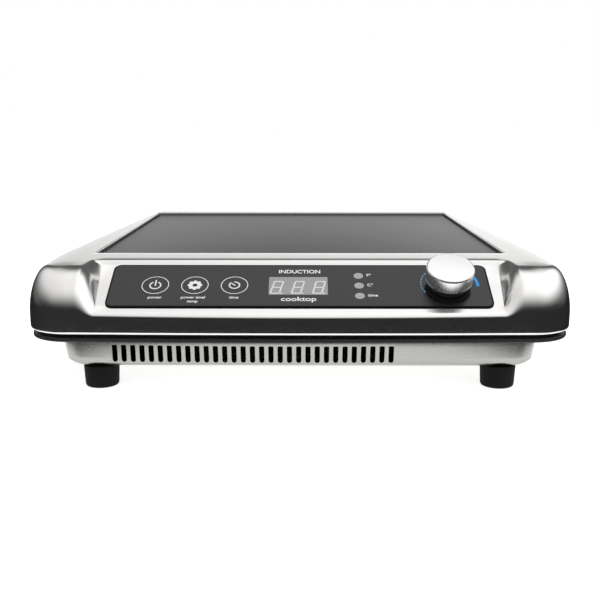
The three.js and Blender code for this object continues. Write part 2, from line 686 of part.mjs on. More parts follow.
place(cooktop, "top_shell", topShell(), STEEL);
place(cooktop, "glass_top", glassTop(), GLASS_BLACK);
place(cooktop, "glass_gasket", glassGasket(), SILICONE);
place(cooktop, "glass_support_frame", glassSupportFrame(), SCREW_STEEL);
place(cooktop, "base_trim", baseTrim(), TRIM_GREY);
place(cooktop, "bottom_tray", bottomTray(), TRAY_STEEL);
for (const [name, x, y] of FOOT_PLACES) {
  place(cooktop, `foot_${name}`, foot(), RUBBER, [x, y, 0]);
  place(cooktop, `foot_screw_${name}`, footScrew(), SCREW_STEEL, [x, y, 0]);
}
SCREW_PLACES.forEach(([x, y], i) =>
  place(cooktop, `case_screw_${i + 1}`, caseScrew(), SCREW_STEEL, [x, y, 0]));
place(cooktop, "cord_gland", cordGland(), BLACK_PLASTIC, [GLAND.x, 0, GLAND.z]);
const glandNut = hexNut(15, 6.8, 0, 2.6).rotateX(-Math.PI / 2);
place(cooktop, "gland_nut", glandNut, BLACK_PLASTIC, [GLAND.x, 174.7, GLAND.z]);

place(panel, "control_panel", controlPanel(), OVERLAY);
place(panel, "display_window", displayWindow(), DISPLAY_GREY, [DISPLAY.x, DISPLAY.y, 0]);
["fahrenheit", "celsius", "time"].forEach((name, i) =>
  place(panel, `indicator_lens_${name}`, indicatorLens(), LENS_GREY, [LENS.x, LENS.y[i], 0]));
["power", "mode", "timer"].forEach((name, i) => {
  place(panel, `${name}_key`, keyCap(), OVERLAY, [KEY_X[i], 0, 0]);
  place(panel, `${name}_key_stem`, keyStem(), NATURAL_PLASTIC, [KEY_X[i], 0, 0]);
});
const knobPlace = [KNOB.x, KNOB.y, 0];
place(panel, "knob_cap", knobCap(), ALUMINIUM, knobPlace);
place(panel, "knob_skirt", knobSkirt(), BLACK_PLASTIC, knobPlace);
place(panel, "encoder_shaft", rod(KNOB.shaftRadius, -8, 11.7), SCREW_STEEL, knobPlace);
place(panel, "encoder_body", encoderBody(), BLACK_PLASTIC, knobPlace);
place(panel, "encoder_nut", hexNut(13, 4.9, -0.5, 2), SCREW_STEEL, knobPlace);
place(panel, "control_board", controlBoard(), BOARD_GREEN);
place(panel, "display_module", box(DISPLAY.x, DISPLAY.y, -9.6, 38, 17, 7.4), BLACK_PLASTIC);
place(panel, "board_bracket", boardBracket(), SCREW_STEEL);

place(coil, "coil_winding", coilWinding(), COPPER);
place(coil, "coil_former", coilFormer(), NATURAL_PLASTIC);
for (let i = 0; i < 4; i += 1) {
  place(coil, `ferrite_bar_${i + 1}`, ferriteBar(), FERRITE, [0, 0, 0], (i * Math.PI) / 2);
}
place(coil, "mica_sheet", micaSheet(), MICA);
place(coil, "temperature_sensor", temperatureSensor(), NATURAL_PLASTIC);
place(cooktop, "coil_lead_outer", outerLead(), COPPER);
place(cooktop, "coil_lead_inner", innerLead(), COPPER);

place(cooktop, "fan_frame", fanFrame(), BLACK_PLASTIC, [FAN.x, FAN.y, 0]);
place(cooktop, "fan_rotor", fanRotor(), BLACK_PLASTIC, [FAN.x, FAN.y, 0]);
place(cooktop, "power_board", powerBoard(), BOARD_GREEN);
place(cooktop, "heat_sink", heatSink(), ALUMINIUM);
place(cooktop, "igbt", semiconductor(61.2, 40), BLACK_PLASTIC);
place(cooktop, "bridge_rectifier", semiconductor(61.2, 8), BLACK_PLASTIC);
place(cooktop, "resonant_capacitor", resonantCapacitor(), TRIM_GREY);
place(cooktop, "filter_choke", filterChoke(), COPPER);
place(cooktop, "mains_terminal", mainsTerminal(), NATURAL_PLASTIC);
place(cooktop, "control_ribbon", controlRibbon(), paint(0xc9c9c9, 0.6, 0));

export default cooktop;
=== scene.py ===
"""Looks of a countertop induction cooktop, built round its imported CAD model. Metres, +Z up."""
import json
import math

import bmesh
import bpy
from mathutils import Matrix, Vector


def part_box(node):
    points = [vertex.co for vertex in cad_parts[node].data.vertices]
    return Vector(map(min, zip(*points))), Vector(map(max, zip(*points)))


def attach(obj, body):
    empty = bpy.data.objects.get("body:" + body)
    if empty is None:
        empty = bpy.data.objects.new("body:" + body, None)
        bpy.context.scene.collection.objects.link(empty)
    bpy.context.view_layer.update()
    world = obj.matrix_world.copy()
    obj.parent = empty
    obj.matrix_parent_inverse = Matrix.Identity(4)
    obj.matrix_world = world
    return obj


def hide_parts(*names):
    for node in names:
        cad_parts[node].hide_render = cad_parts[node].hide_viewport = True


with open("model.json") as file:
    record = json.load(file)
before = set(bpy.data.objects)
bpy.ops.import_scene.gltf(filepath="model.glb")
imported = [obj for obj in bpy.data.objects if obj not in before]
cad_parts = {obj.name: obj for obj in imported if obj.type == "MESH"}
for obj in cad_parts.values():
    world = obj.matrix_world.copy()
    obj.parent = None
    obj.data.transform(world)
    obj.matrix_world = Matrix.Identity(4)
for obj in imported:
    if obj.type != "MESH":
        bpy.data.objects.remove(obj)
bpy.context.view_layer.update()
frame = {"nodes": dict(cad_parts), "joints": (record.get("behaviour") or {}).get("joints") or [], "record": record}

# ---------------------------------------------------------------- places taken from the frame

MM = 0.001
SHELL_LOW, SHELL_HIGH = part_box("top_shell")
GLASS_LOW, GLASS_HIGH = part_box("glass_top")
TRIM_LOW, TRIM_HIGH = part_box("base_trim")
RIM_Z = SHELL_HIGH.z
SKIRT_Z = SHELL_LOW.z
SHEET = 1.5 * MM
CURL = 2.4 * MM
GAP = 0.3 * MM

KNOB_JOINT = next(j for j in frame["joints"] if j["name"] == "knob_turn")
PANEL_NORMAL = Vector(KNOB_JOINT["axis"]).normalized()
PANEL_SLOPE = math.atan2(-PANEL_NORMAL.y, PANEL_NORMAL.z)
PANEL_UP = Vector((0, PANEL_NORMAL.z, -PANEL_NORMAL.y))
KNOB_AT = Vector(KNOB_JOINT["pos_m"])
KNOB_UP_SLOPE = 0.6 * MM
PANEL_ORIGIN = Vector((0, KNOB_AT.y, KNOB_AT.z)) - PANEL_UP * KNOB_UP_SLOPE
PANEL_PLACE = Matrix.Translation(PANEL_ORIGIN) @ Matrix.Rotation(PANEL_SLOPE, 4, "X")

PANEL_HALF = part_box("control_panel")[1].x
PANEL_HALF_HIGH = 22.4 * MM
PANEL_RADIUS = 5 * MM
PANEL_THICK = 0.6 * MM
KEY_RADIUS = 9.35 * MM
KEY_X = {name: sum(c.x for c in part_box(f"{name}_key")) / 2 for name in ("power", "mode", "timer")}
LENS_UP_SLOPE = {"fahrenheit": 10.6 * MM, "celsius": 0, "time": -10.8 * MM}
LENS_X = 40 * MM
LENS_RADIUS = 3.35 * MM
DISPLAY_AT = (-0.8 * MM, -0.3 * MM)
DISPLAY_HALF = (19.8 * MM, 9.5 * MM)


# ---------------------------------------------------------------- mesh helpers

def smoothstep(low, high, x):
    t = min(1, max(0, (x - low) / (high - low)))
    return t * t * (3 - 2 * t)


def lerp(a, b, t):
    return a + (b - a) * t


def steps(low, high, count):
    """count + 1 even values from low to high."""
    return [lerp(low, high, i / count) for i in range(count + 1)]


def shade(mesh, sharp):
    """Smooth shading, but for edges sharper than sharp degrees."""
    mesh.polygons.foreach_set("use_smooth", [True] * len(mesh.polygons))
    mesh.set_sharp_from_angle(angle=math.radians(sharp))


def new_object(name, mesh, place=Matrix.Identity(4), sharp=35):
    shade(mesh, sharp)
    piece = bpy.data.objects.new(name, mesh)
    bpy.context.scene.collection.objects.link(piece)
    piece.matrix_world = place
    return piece


def loft(name, rings, closed, place=Matrix.Identity(4), sharp=35):
    """Skins rings that all hold the same count of points. The list of rings closes on itself, or else
    both its ends are capped."""
    count = len(rings[0])
    points = [p for ring in rings for p in ring]
    faces = []
    for r in range(len(rings) if closed else len(rings) - 1):
        low, high = r * count, (r + 1) % len(rings) * count
        for i in range(count):
            j = (i + 1) % count
            faces.append((low + i, low + j, high + j, high + i))
    if not closed:
        faces.append(tuple(range(count))[::-1])
        faces.append(tuple(range(len(points) - count, len(points))))
    mesh = bpy.data.meshes.new(name)
    mesh.from_pydata(points, [], faces)
    tidy_mesh(mesh)
    return new_object(name, mesh, place, sharp)


def tidy_mesh(mesh):
    """Welds points that coincide and turns every face outwards."""
    shape = bmesh.new()
    shape.from_mesh(mesh)
    bmesh.ops.remove_doubles(shape, verts=shape.verts, dist=1e-7)
    bmesh.ops.dissolve_degenerate(shape, edges=shape.edges, dist=1e-8)
    bmesh.ops.recalc_face_normals(shape, faces=shape.faces)
    shape.to_mesh(mesh)
    shape.free()


def lathe(name, profile, place, sides=96, sharp=35):
    """Turns a list of (radius, height) round Z and caps both ends. A profile that ends where it starts
    keeps one thin disc across its bore."""
    rings = []
    for radius, height in profile:
        rings.append([Vector((radius * math.cos(a), radius * math.sin(a), height))
                      for a in steps(0, 2 * math.pi, sides)[:-1]])
    return loft(name, rings, False, place, sharp)


def rounded(profile, size=0.3 * MM, count=4):
    """The profile with each inner corner replaced by a small arc."""
    made = [profile[0]]
    for before, corner, after in zip(profile, profile[1:], profile[2:]):
        corner_point = Vector(corner)
        back, ahead = Vector(before) - corner_point, Vector(after) - corner_point
        reach = min(size, back.length * 0.45, ahead.length * 0.45)
        start, end = corner_point + back.normalized() * reach, corner_point + ahead.normalized() * reach
        for t in steps(0, 1, count):
            made.append(tuple(start.lerp(corner_point, t).lerp(corner_point.lerp(end, t), t)))
    return made + [profile[-1]]


def in_mm(*points):
    """Points given in millimetres, as metres."""
    return [(x * MM, y * MM) for x, y in points]


def arc(x, y, radius, start, end, count=12):
    """Points on an arc, with angles in degrees."""
    return [(x + radius * math.cos(math.radians(a)), y + radius * math.sin(math.radians(a)))
            for a in steps(start, end, count)]


def circle(x, y, radius, count=72):
    return arc(x, y, radius, 0, 360, count)[:-1]


def rounded_box(half_x, half_y, radius, count=10):
    """The outline of a box round the origin, with round corners, counter-clockwise from the lower left."""
    points = []
    for i, (side, end) in enumerate(((-1, -1), (1, -1), (1, 1), (-1, 1))):
        start = 180 + 90 * i
        middle_x, middle_y = side * (half_x - radius), end * (half_y - radius)
        points += arc(middle_x, middle_y, radius, start, start + 90, count)
    return points


def stroke(path, widths):
    """The outline of a round-ended line along path, with a width at each point."""
    left, right = [], []
    for i, here in enumerate(path):
        ahead = Vector(path[min(i + 1, len(path) - 1)]) - Vector(path[max(i - 1, 0)])
        across = Vector((-ahead.y, ahead.x)).normalized() * widths[i] / 2
        left.append(tuple(Vector(here) + across))
        right.append(tuple(Vector(here) - across))
    heading = [math.degrees(math.atan2(b[1] - a[1], b[0] - a[0]))
               for a, b in ((path[-2], path[-1]), (path[0], path[1]))]
    end_cap = arc(*path[-1], widths[-1] / 2, heading[0] - 90, heading[0] + 90, 6)
    start_cap = arc(*path[0], widths[0] / 2, heading[1] + 90, heading[1] + 270, 6)
    return right + end_cap[1:-1] + left[::-1] + start_cap[1:-1]


def plate(name, outlines, low, high, place=Matrix.Identity(4), bevel=0, sharp=35):
    """A flat piece from low to high with these outlines. An outline inside another is a hole."""
    curve = bpy.data.curves.new(name, "CURVE")
    curve.dimensions = "2D"
    curve.fill_mode = "BOTH"
    curve.extrude = (high - low) / 2 - bevel
    curve.bevel_depth = bevel
    curve.offset = -bevel
    curve.bevel_resolution = 2
    for outline in outlines:
        spline = curve.splines.new("POLY")
        spline.points.add(len(outline) - 1)
        for point, (x, y) in zip(spline.points, outline):
            point.co = (x, y, 0, 1)
        spline.use_cyclic_u = True
    return curve_to_piece(name, curve, Matrix.Translation((0, 0, (low + high) / 2)), place, sharp)


def curve_to_piece(name, curve, shift, place, sharp=35):
    """An object from a curve or a text, whose points are moved by shift before it is placed."""
    holder = bpy.data.objects.new(name + ".curve", curve)
    bpy.context.scene.collection.objects.link(holder)
    graph = bpy.context.evaluated_depsgraph_get()
    mesh = bpy.data.meshes.new_from_object(holder.evaluated_get(graph))
    mesh.transform(shift)
    bpy.data.objects.remove(holder)
    bpy.data.curves.remove(curve)
    tidy_mesh(mesh)
    return new_object(name, mesh, place, sharp)


def join(name, pieces):
    """One object from several that share a place."""
    first = pieces[0]
    shape = bmesh.new()
    for piece in pieces:
        shape.from_mesh(piece.data)
    mesh = bpy.data.meshes.new(name)
    shape.to_mesh(mesh)
    shape.free()
    place = first.matrix_world.copy()
    for piece in pieces:
        bpy.data.objects.remove(piece)
    return new_object(name, mesh, place)


def cut_away(piece, cutter, sharp=40):
    """Subtracts cutter from piece for good, and removes it."""
    modifier = piece.modifiers.new("cut", "BOOLEAN")
    modifier.operation = "DIFFERENCE"
    modifier.solver = "EXACT"
    modifier.object = cutter
    graph = bpy.context.evaluated_depsgraph_get()
    mesh = bpy.data.meshes.new_from_object(piece.evaluated_get(graph))
    piece.modifiers.clear()
    old = piece.data
    piece.data = mesh
    bpy.data.meshes.remove(old)
    bpy.data.objects.remove(cutter)
    shade(mesh, sharp)


def dress(piece, look, body="housing", stands_for=()):
    """Gives a piece its material, the body it rides on and the nodes it replaces."""
    piece.data.materials.clear()
    piece.data.materials.append(look)
    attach(piece, body)
    if stands_for:
        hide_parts(*stands_for)
    return piece


# ---------------------------------------------------------------- camera

FOCAL = 51.12
CAMERA_AT = Vector((3.4, -727.6, 176.5)) * MM
CAMERA_PITCH = 11.86
CAMERA_YAW = 0.31


def make_camera():
    lens = bpy.data.cameras.new("camera")
    lens.lens = FOCAL
    lens.sensor_width = 36
    camera = bpy.data.objects.new("camera", lens)
    camera.location = CAMERA_AT
    camera.rotation_euler = (math.radians(90 - CAMERA_PITCH), 0, math.radians(CAMERA_YAW))
    bpy.context.scene.collection.objects.link(camera)
    bpy.context.scene.camera = camera


# ---------------------------------------------------------------- materials

NOISE_LOW, NOISE_HIGH = 0.3, 0.7
NOISE_DETAIL = 3
BUMP_DEPTH = 0.1 * MM


def finish(name, color, roughness, metallic=0.0, grain=(500, 500, 500), tone=0.06, spread=0.05,
           bump=0.02, **sockets):
    """A Principled material with noise of this grain (cycles per metre along each axis) in its colour
    (by the share tone), its roughness (by spread) and its bump. Sockets are set by their plain names."""
    look = bpy.data.materials.new(name)
    look.use_nodes = True
    nodes, links = look.node_tree.nodes, look.node_tree.links
    shader = nodes["Principled BSDF"]
    shader.inputs["Metallic"].default_value = metallic
    for socket, value in sockets.items():
        shader.inputs[socket.replace("_", " ").title().replace("Ior", "IOR")].default_value = value
    where = nodes.new("ShaderNodeTexCoord")
    stretch = nodes.new("ShaderNodeMapping")
    stretch.inputs["Scale"].default_value = grain
    noise = nodes.new("ShaderNodeTexNoise")
    noise.inputs["Scale"].default_value = 1
    noise.inputs["Detail"].default_value = NOISE_DETAIL
    links.new(where.outputs["Object"], stretch.inputs["Vector"])
    links.new(stretch.outputs["Vector"], noise.inputs["Vector"])
    colours = nodes.new("ShaderNodeValToRGB")
    colours.color_ramp.elements[0].position = NOISE_LOW
    colours.color_ramp.elements[1].position = NOISE_HIGH
    for element, share in zip(colours.color_ramp.elements, (1 - tone, 1 + tone)):
        element.color = (*[min(1, c * share) for c in color], 1)
    links.new(noise.outputs["Fac"], colours.inputs["Fac"])
    links.new(colours.outputs["Color"], shader.inputs["Base Color"])
    rough = nodes.new("ShaderNodeMapRange")
    rough.inputs["From Min"].default_value = NOISE_LOW
    rough.inputs["From Max"].default_value = NOISE_HIGH
    rough.inputs["To Min"].default_value = max(0, roughness - spread)
    rough.inputs["To Max"].default_value = roughness + spread
    links.new(noise.outputs["Fac"], rough.inputs["Value"])
    links.new(rough.outputs["Result"], shader.inputs["Roughness"])
    relief = nodes.new("ShaderNodeBump")
    relief.inputs["Strength"].default_value = bump
    relief.inputs["Distance"].default_value = BUMP_DEPTH
    links.new(noise.outputs["Fac"], relief.inputs["Height"])
    links.new(relief.outputs["Normal"], shader.inputs["Normal"])
    return look


# Fine lines along X: few cycles of noise that way and many across it, at a low strength.
BRUSHED_X = (25, 1400, 1400)
BRUSHED = {"tone": 0.012, "spread": 0.015, "bump": 0.006}
SHELL_STEEL = finish("shell_steel", (0.84, 0.83, 0.815), 0.2, 1, BRUSHED_X, **BRUSHED)
TRAY_STEEL = finish("tray_steel", (0.4, 0.4, 0.382), 0.27, 1, BRUSHED_X, **BRUSHED)
PLAIN_STEEL = finish("hidden_steel", (0.55, 0.55, 0.56), 0.35, 1, bump=0.1)
# This index is lower than real glass has, so that the pane stays dark under the bright lights.
BLACK_GLASS = finish("black_glass", (0.012, 0.012, 0.013), 0.24, 0, (60, 60, 60), spread=0.003, bump=0,
                     IOR=1.08)
SILICONE = finish("silicone", (0.012, 0.012, 0.012), 0.6, bump=0.1)
PANEL_FILM = finish("panel_film", (0.008, 0.0083, 0.0086), 0.2, 0, (2500, 2500, 2500), tone=0.08)
PANEL_EDGE = finish("panel_edge", (0.003, 0.003, 0.003), 0.5, bump=0.05, specular_ior_level=0.1)
WHITE_INK = finish("white_ink", (0.95, 0.95, 0.94), 0.45, bump=0.03)
BLUE_INK = finish("blue_ink", (0.02, 0.36, 0.95), 0.45, bump=0.03)
PALE_BLUE_INK = finish("pale_blue_ink", (0.16, 0.42, 0.62), 0.45, bump=0.03)
DISPLAY_GREY = finish("display_grey", (0.36, 0.36, 0.36), 0.25, 0, (900, 900, 900), tone=0.08)
SEGMENT = finish("segment", (0.82, 0.82, 0.82), 0.4, 0, (900, 900, 900))
LENS_GREY = finish("lamp_lens", (0.46, 0.46, 0.44), 0.3, 0, (1800, 1800, 1800), tone=0.3, bump=0.3)
KNOB_METAL = finish("knob_aluminium", (0.95, 0.95, 0.95), 0.3, 1, (1600, 1600, 300), tone=0.05, spread=0.06)
BLACK_PLASTIC = finish("black_plastic", (0.012, 0.012, 0.013), 0.4, 0, (1500, 1500, 1500), bump=0.1)
NATURAL_PLASTIC = finish("natural_plastic", (0.6, 0.57, 0.5), 0.5, bump=0.05)
TRIM_GREY = finish("trim_grey", (0.014, 0.014, 0.0145), 0.45, 0, (900, 900, 900), bump=0.08)
RUBBER = finish("foot_rubber", (0.004, 0.004, 0.004), 0.75, 0, (1200, 1200, 1200), bump=0.2,
                specular_ior_level=0.2)
BOARD_GREEN = finish("circuit_board", (0.02, 0.13, 0.05), 0.35, bump=0.05)
COPPER = finish("copper", (0.62, 0.27, 0.12), 0.35, 0.8, (900, 900, 900), bump=0.2)
FERRITE = finish("ferrite", (0.05, 0.05, 0.052), 0.7, bump=0.3)
MICA = finish("mica", (0.66, 0.6, 0.45), 0.5, 0, (150, 150, 150), tone=0.2, bump=0.1)
SINK_METAL = finish("sink_aluminium", (0.72, 0.72, 0.73), 0.35, 1, (2000, 20, 20), bump=0.1)

SLOT_LOOKS = {
    "shell_steel": SHELL_STEEL, "tray_steel": TRAY_STEEL, "hidden_steel": PLAIN_STEEL,
    "black_glass": BLACK_GLASS, "silicone": SILICONE, "panel_film": PANEL_FILM,
    "display_grey": DISPLAY_GREY, "lamp_lens": LENS_GREY, "knob_aluminium": KNOB_METAL,
    "black_plastic": BLACK_PLASTIC, "natural_plastic": NATURAL_PLASTIC, "trim_grey": TRIM_GREY,
    "foot_rubber": RUBBER, "circuit_board": BOARD_GREEN, "copper": COPPER, "ferrite": FERRITE,
    "mica": MICA, "sink_aluminium": SINK_METAL,
}


def dress_frame():
    """Every CAD node gets the look of its slot in the record."""
    for part in frame["record"]["subparts"]:
        node = frame["nodes"][part["node"]]
        node.data.materials.clear()
        node.data.materials.append(SLOT_LOOKS[part["material_slot"]])


# ---------------------------------------------------------------- plan outlines

TAPER_START = -118 * MM
TAPER_RATE, TAPER_POWER = 0.05, 1.1
TRAY_TAPER_START = -160 * MM
TRAY_TAPER_RATE = 0.055


def body_taper(y):
    """How far each side of the body has come in at this y, in a slight curve."""
    if y <= TAPER_START:
        return 0
    return TAPER_RATE * ((y - TAPER_START) / MM) ** TAPER_POWER * MM


def tray_taper(y):
    return max(0, (y - TRAY_TAPER_START) * TRAY_TAPER_RATE)


def taper_slope(taper, y):
    probe = 0.5 * MM
    return (taper(y + probe) - taper(y - probe)) / (2 * probe)


FLOOR_COUNT, WALL_COUNT, SHOULDER_COUNT = 16, 30, 6
FOOT_SHARE, HEAD_SHARE = 0.88, 0.94


def front_line(foot, head, end):
    """Places across the front: the recess floor as far as foot, its end wall as far as head, and the
    shoulder as far as end."""
    return (steps(0, foot, FLOOR_COUNT) + steps(foot, head, WALL_COUNT)[1:]
            + steps(head, end, SHOULDER_COUNT)[1:])


CORNER_STEPS = steps(0, 1, 16)[1:]
SIDE_STEPS = steps(0, 1, 16)[1:]
REAR_CORNER_STEPS = steps(0, 1, 8)[1:]
REAR_STEPS = steps(1, 0, 8)[1:]


class Station:
    """A point of an outline with its outward normal, its zone and how far along that zone it is (on the
    front, its number)."""

    def __init__(self, x, y, nx, ny, zone, t):
        length = math.hypot(nx, ny)
        self.x, self.y = x, y
        self.nx, self.ny = nx / length, ny / length
        self.zone, self.t = zone, t

    def mirrored(self):
        return Station(-self.x, self.y, -self.nx, self.ny, self.zone, self.t)

    def at(self, grow, z):
        return Vector((self.x + self.nx * grow, self.y + self.ny * grow, z))


def outline(half, front, bow, radius, rear, rear_radius, taper=lambda y: 0, foot=None, head=None):
    """Counter-clockwise stations: from the middle of the bowed front round a corner, the side and the rear,
    and then back along the other half, which mirrors the first."""
    right = []
    lean = math.atan(2 * bow / (half - radius))
    front_end = half - radius + radius * math.sin(lean)
    line = front_line(foot or FOOT_SHARE * front_end, head or HEAD_SHARE * front_end, front_end)
    for i, x in enumerate(line):
        share = x / front_end
        y = front + bow * share * share
        right.append(Station(x, y, 2 * bow * share / front_end, -1, "front", i))
    centre_y = front + bow + radius * math.cos(lean)
    for t in CORNER_STEPS:
        angle = lean + (math.pi / 2 - lean) * t
        nx, ny = math.sin(angle), -math.cos(angle)
        right.append(Station(half - radius + radius * nx, centre_y + radius * ny, nx, ny, "corner", t))
    rear_lean = math.atan(taper_slope(taper, rear - rear_radius))
    side_end = rear - rear_radius + rear_radius * math.sin(rear_lean)
    for t in SIDE_STEPS:
        y = lerp(centre_y, side_end, t)
        right.append(Station(half - taper(y), y, 1, taper_slope(taper, y), "side", t))
    rear_x = half - taper(side_end) - rear_radius * math.cos(rear_lean)
    for t in REAR_CORNER_STEPS:
        angle = lerp(rear_lean, math.pi / 2, t)
        nx, ny = math.cos(angle), math.sin(angle)
        x, y = rear_x + rear_radius * nx, rear - rear_radius + rear_radius * ny
        right.append(Station(x, y, nx, ny, "rear_corner", t))
    for t in REAR_STEPS:
        right.append(Station(rear_x * t, rear, 0, 1, "rear", 1 - t))
    return right + [s.mirrored() for s in right[-2:0:-1]]


def ring_at(stations, grow, z):
    return [s.at(grow, z) for s in stations]


BODY_LINE = outline(SHELL_HIGH.x, SHELL_LOW.y, 2 * MM, 31 * MM, SHELL_HIGH.y, 8 * MM, body_taper,
                    foot=133 * MM, head=146.5 * MM)
# Where the front's lines cross the ridge behind the recess.
RIDGE_LINE = front_line(137.4 * MM, 146 * MM, 150.5 * MM)
OPENING = {"half": 150 * MM, "front": -109.5 * MM, "rear": 172.5 * MM, "radius": 2 * MM}
OPENING_LINE = outline(OPENING["half"], OPENING["front"], 0, OPENING["radius"], OPENING["rear"],
                       OPENING["radius"], foot=136 * MM, head=146 * MM)
TRIM_LINE = outline(TRIM_HIGH.x, TRIM_LOW.y, 2.5 * MM, 29 * MM, TRIM_HIGH.y, 8 * MM, body_taper)


def tray_line(half, front, bow, radius, rear):
    return outline(half * MM, front * MM, bow * MM, radius * MM, rear * MM, radius * MM, tray_taper)


TRAY_TOP_LINE = tray_line(162.7, -184.5, 5.7, 22, 181)


# ---------------------------------------------------------------- stamped shell

RECESS = {"ridge_start": -145.4 * MM, "ridge_end": -142.6 * MM, "roll": 2.2 * MM, "drop": 2 * MM}
FRONT_ROLL = (27 * MM, 28 * MM)
SIDE_ROLL = (14 * MM, 33 * MM)
REAR_ROLL = (4.5 * MM, 10 * MM)
ROLL_STEPS = [1 - math.cos(a) for a in steps(0, math.pi / 2, 26)]
RIDGE_STEPS = steps(0, 1, 14)
# How far behind the shell's front the crease at the foot of the recess wall takes to form.
CREASE_RUN = 14 * MM
# Shares of the way from the edge roll in to the glass opening. Beside and behind the glass there is no
# ridge, and its rows of points lie close together on the flat.
PLAIN_START, PLAIN_RUN = 0.4, 0.06
FLAT_STEPS = (0.6, 0.85, 0.97)


def quarter_drop(inset, run, fall):
    t = 1 - min(1, inset / run)
    return fall * (1 - math.sqrt(1 - t * t))


def roll_size(station):
    """How far the edge roll reaches in from the outline, and how far it falls."""
    if station.zone == "front":
        return FRONT_ROLL
    if station.zone == "corner":
        t = smoothstep(0, 1, station.t)
        return lerp(FRONT_ROLL[0], SIDE_ROLL[0], t), lerp(FRONT_ROLL[1], SIDE_ROLL[1], t)
    if station.zone == "side":
        return lerp(SIDE_ROLL[0], REAR_ROLL[0], station.t), lerp(SIDE_ROLL[1], REAR_ROLL[1], station.t)
    return REAR_ROLL


def recess_height(y, inset, sheet):
    floor_drop = (PANEL_THICK + GAP + sheet) / math.cos(PANEL_SLOPE)
    floor = PANEL_ORIGIN.z + (y - PANEL_ORIGIN.y) * math.tan(PANEL_SLOPE) - floor_drop
    rise = smoothstep(RECESS["ridge_start"], RECESS["ridge_end"], y)
    return lerp(floor - quarter_drop(inset, RECESS["roll"], RECESS["drop"]), RIM_Z - sheet, rise)


def wall_rise(station, y):
    """How far up the recess wall a station lies: 0 on the recess floor, 1 on the shoulder. The head of
    the wall is smooth, and its foot is a crease at the rear that runs out at the front."""
    if station.zone != "front":
        return 1
    share = min(1, max(0, (station.t - FLOOR_COUNT) / WALL_COUNT))
    creased = math.sin(share * math.pi / 2)
    return lerp(smoothstep(0, 1, share), creased, smoothstep(SHELL_LOW.y, SHELL_LOW.y + CREASE_RUN, y))


def shell_height(station, inset, y, sheet):
    run, fall = roll_size(station)
    rim = RIM_Z - sheet - quarter_drop(inset - sheet, run - sheet, fall - sheet)
    return lerp(recess_height(y, inset - sheet, sheet), rim, wall_rise(station, y))


def front_line_x(body, inner, y):
    """The x at which a front station's line passes this y, on its way over the ridge to the opening."""
    ridge_x = math.copysign(RIDGE_LINE[body.t], body.x)
    ridge_y = RECESS["ridge_end"]
    if y < ridge_y:
        return lerp(body.x, ridge_x, (y - body.y) / (ridge_y - body.y))
    return lerp(ridge_x, inner.x, (y - ridge_y) / (inner.y - ridge_y))


def shell_row(body, inner, sheet):
    """The points from the skirt over the edge roll, the recess and its ridge to the glass opening."""
    run = roll_size(body)[0]
    is_front = body.zone == "front"

    def point(x, y, inset):
        if is_front:
            x = front_line_x(body, inner, y)
        return Vector((x, y, shell_height(body, inset, y, sheet)))

    row = []
    for t in ROLL_STEPS:
        inset = lerp(sheet, run, t)
        row.append(point(body.x - body.nx * inset, body.y - body.ny * inset, inset))
    start = body.at(-run, 0)
    end = inner.at(sheet, 0)
    shares = []
    for t in RIDGE_STEPS:
        y = lerp(RECESS["ridge_start"], RECESS["ridge_end"], t)
        plain = PLAIN_START + PLAIN_RUN * t
        shares.append((y - start.y) / (end.y - start.y) if is_front else plain)
    for share in [*shares, *FLAT_STEPS]:
        along = start.lerp(end, share)
        row.append(point(along.x, along.y, run))
    return row


FLANGE_Z = 72 * MM
LIP_FALL = 0.6
HEM_INSIDE = 0.7 * CURL
HEM_GAP = GAP + 0.5 * MM


def shell_section(body, inner, tray):
    """One closed section through the sheet, from the hem over the top and back underneath."""
    hem = [body.at(-CURL * (1 - math.sin(a)), SKIRT_Z + CURL * (1 - math.cos(a)))
           for a in steps(0, math.pi / 2, 8)]
    lip = [inner.at(SHEET * (1 - math.sin(a)), RIM_Z - SHEET * (1 - math.cos(a)) * LIP_FALL)
           for a in steps(0, math.pi / 2, 5)[1:]]
    return [
        *hem, *shell_row(body, inner, 0), *lip,
        inner.at(0, FLANGE_Z), inner.at(SHEET, FLANGE_Z),
        *shell_row(body, inner, SHEET)[::-1],
        body.at(-SHEET, SKIRT_Z + SHEET + HEM_INSIDE), body.at(-SHEET - HEM_INSIDE, SKIRT_Z + SHEET),
        tray.at(HEM_GAP, SKIRT_Z + SHEET), tray.at(HEM_GAP, SKIRT_Z),
    ]


KEY_CLEARANCE, LENS_CLEARANCE, DISPLAY_CLEARANCE = 0.8 * MM, 0.5 * MM, 1.2 * MM
SHAFT_HOLE = 5.2 * MM
RECESS_CUT = (-6 * MM, 3 * MM)


def recess_holes():
    """Clearance holes in the recess floor, behind the keys, the lenses, the display and the knob."""
    return panel_holes(KEY_CLEARANCE, LENS_CLEARANCE, SHAFT_HOLE, DISPLAY_CLEARANCE)


def make_shell():
    sections = [shell_section(*stations) for stations in zip(BODY_LINE, OPENING_LINE, TRAY_TOP_LINE)]
    shell = loft("shell_skin", sections, True, sharp=50)
    cut_away(shell, plate("cut_recess", recess_holes(), *RECESS_CUT, PANEL_PLACE), 50)
    dress(shell, SHELL_STEEL, stands_for=["top_shell"])


# ---------------------------------------------------------------- glass and gasket

GLASS_RADIUS = 1.8 * MM
GLASS_BEVEL = 0.5 * MM


def make_glass():
    middle = (GLASS_LOW.y + GLASS_HIGH.y) / 2
    half_deep = (GLASS_HIGH.y - GLASS_LOW.y) / 2
    pane = rounded_box(GLASS_HIGH.x, half_deep, GLASS_RADIUS)
    glass = plate("glass_pane", [pane], GLASS_LOW.z, GLASS_HIGH.z, Matrix.Translation((0, middle, 0)),
                  bevel=GLASS_BEVEL, sharp=60)
    dress(glass, BLACK_GLASS, stands_for=["glass_top"])


LEAST_RADIUS = 0.8 * MM


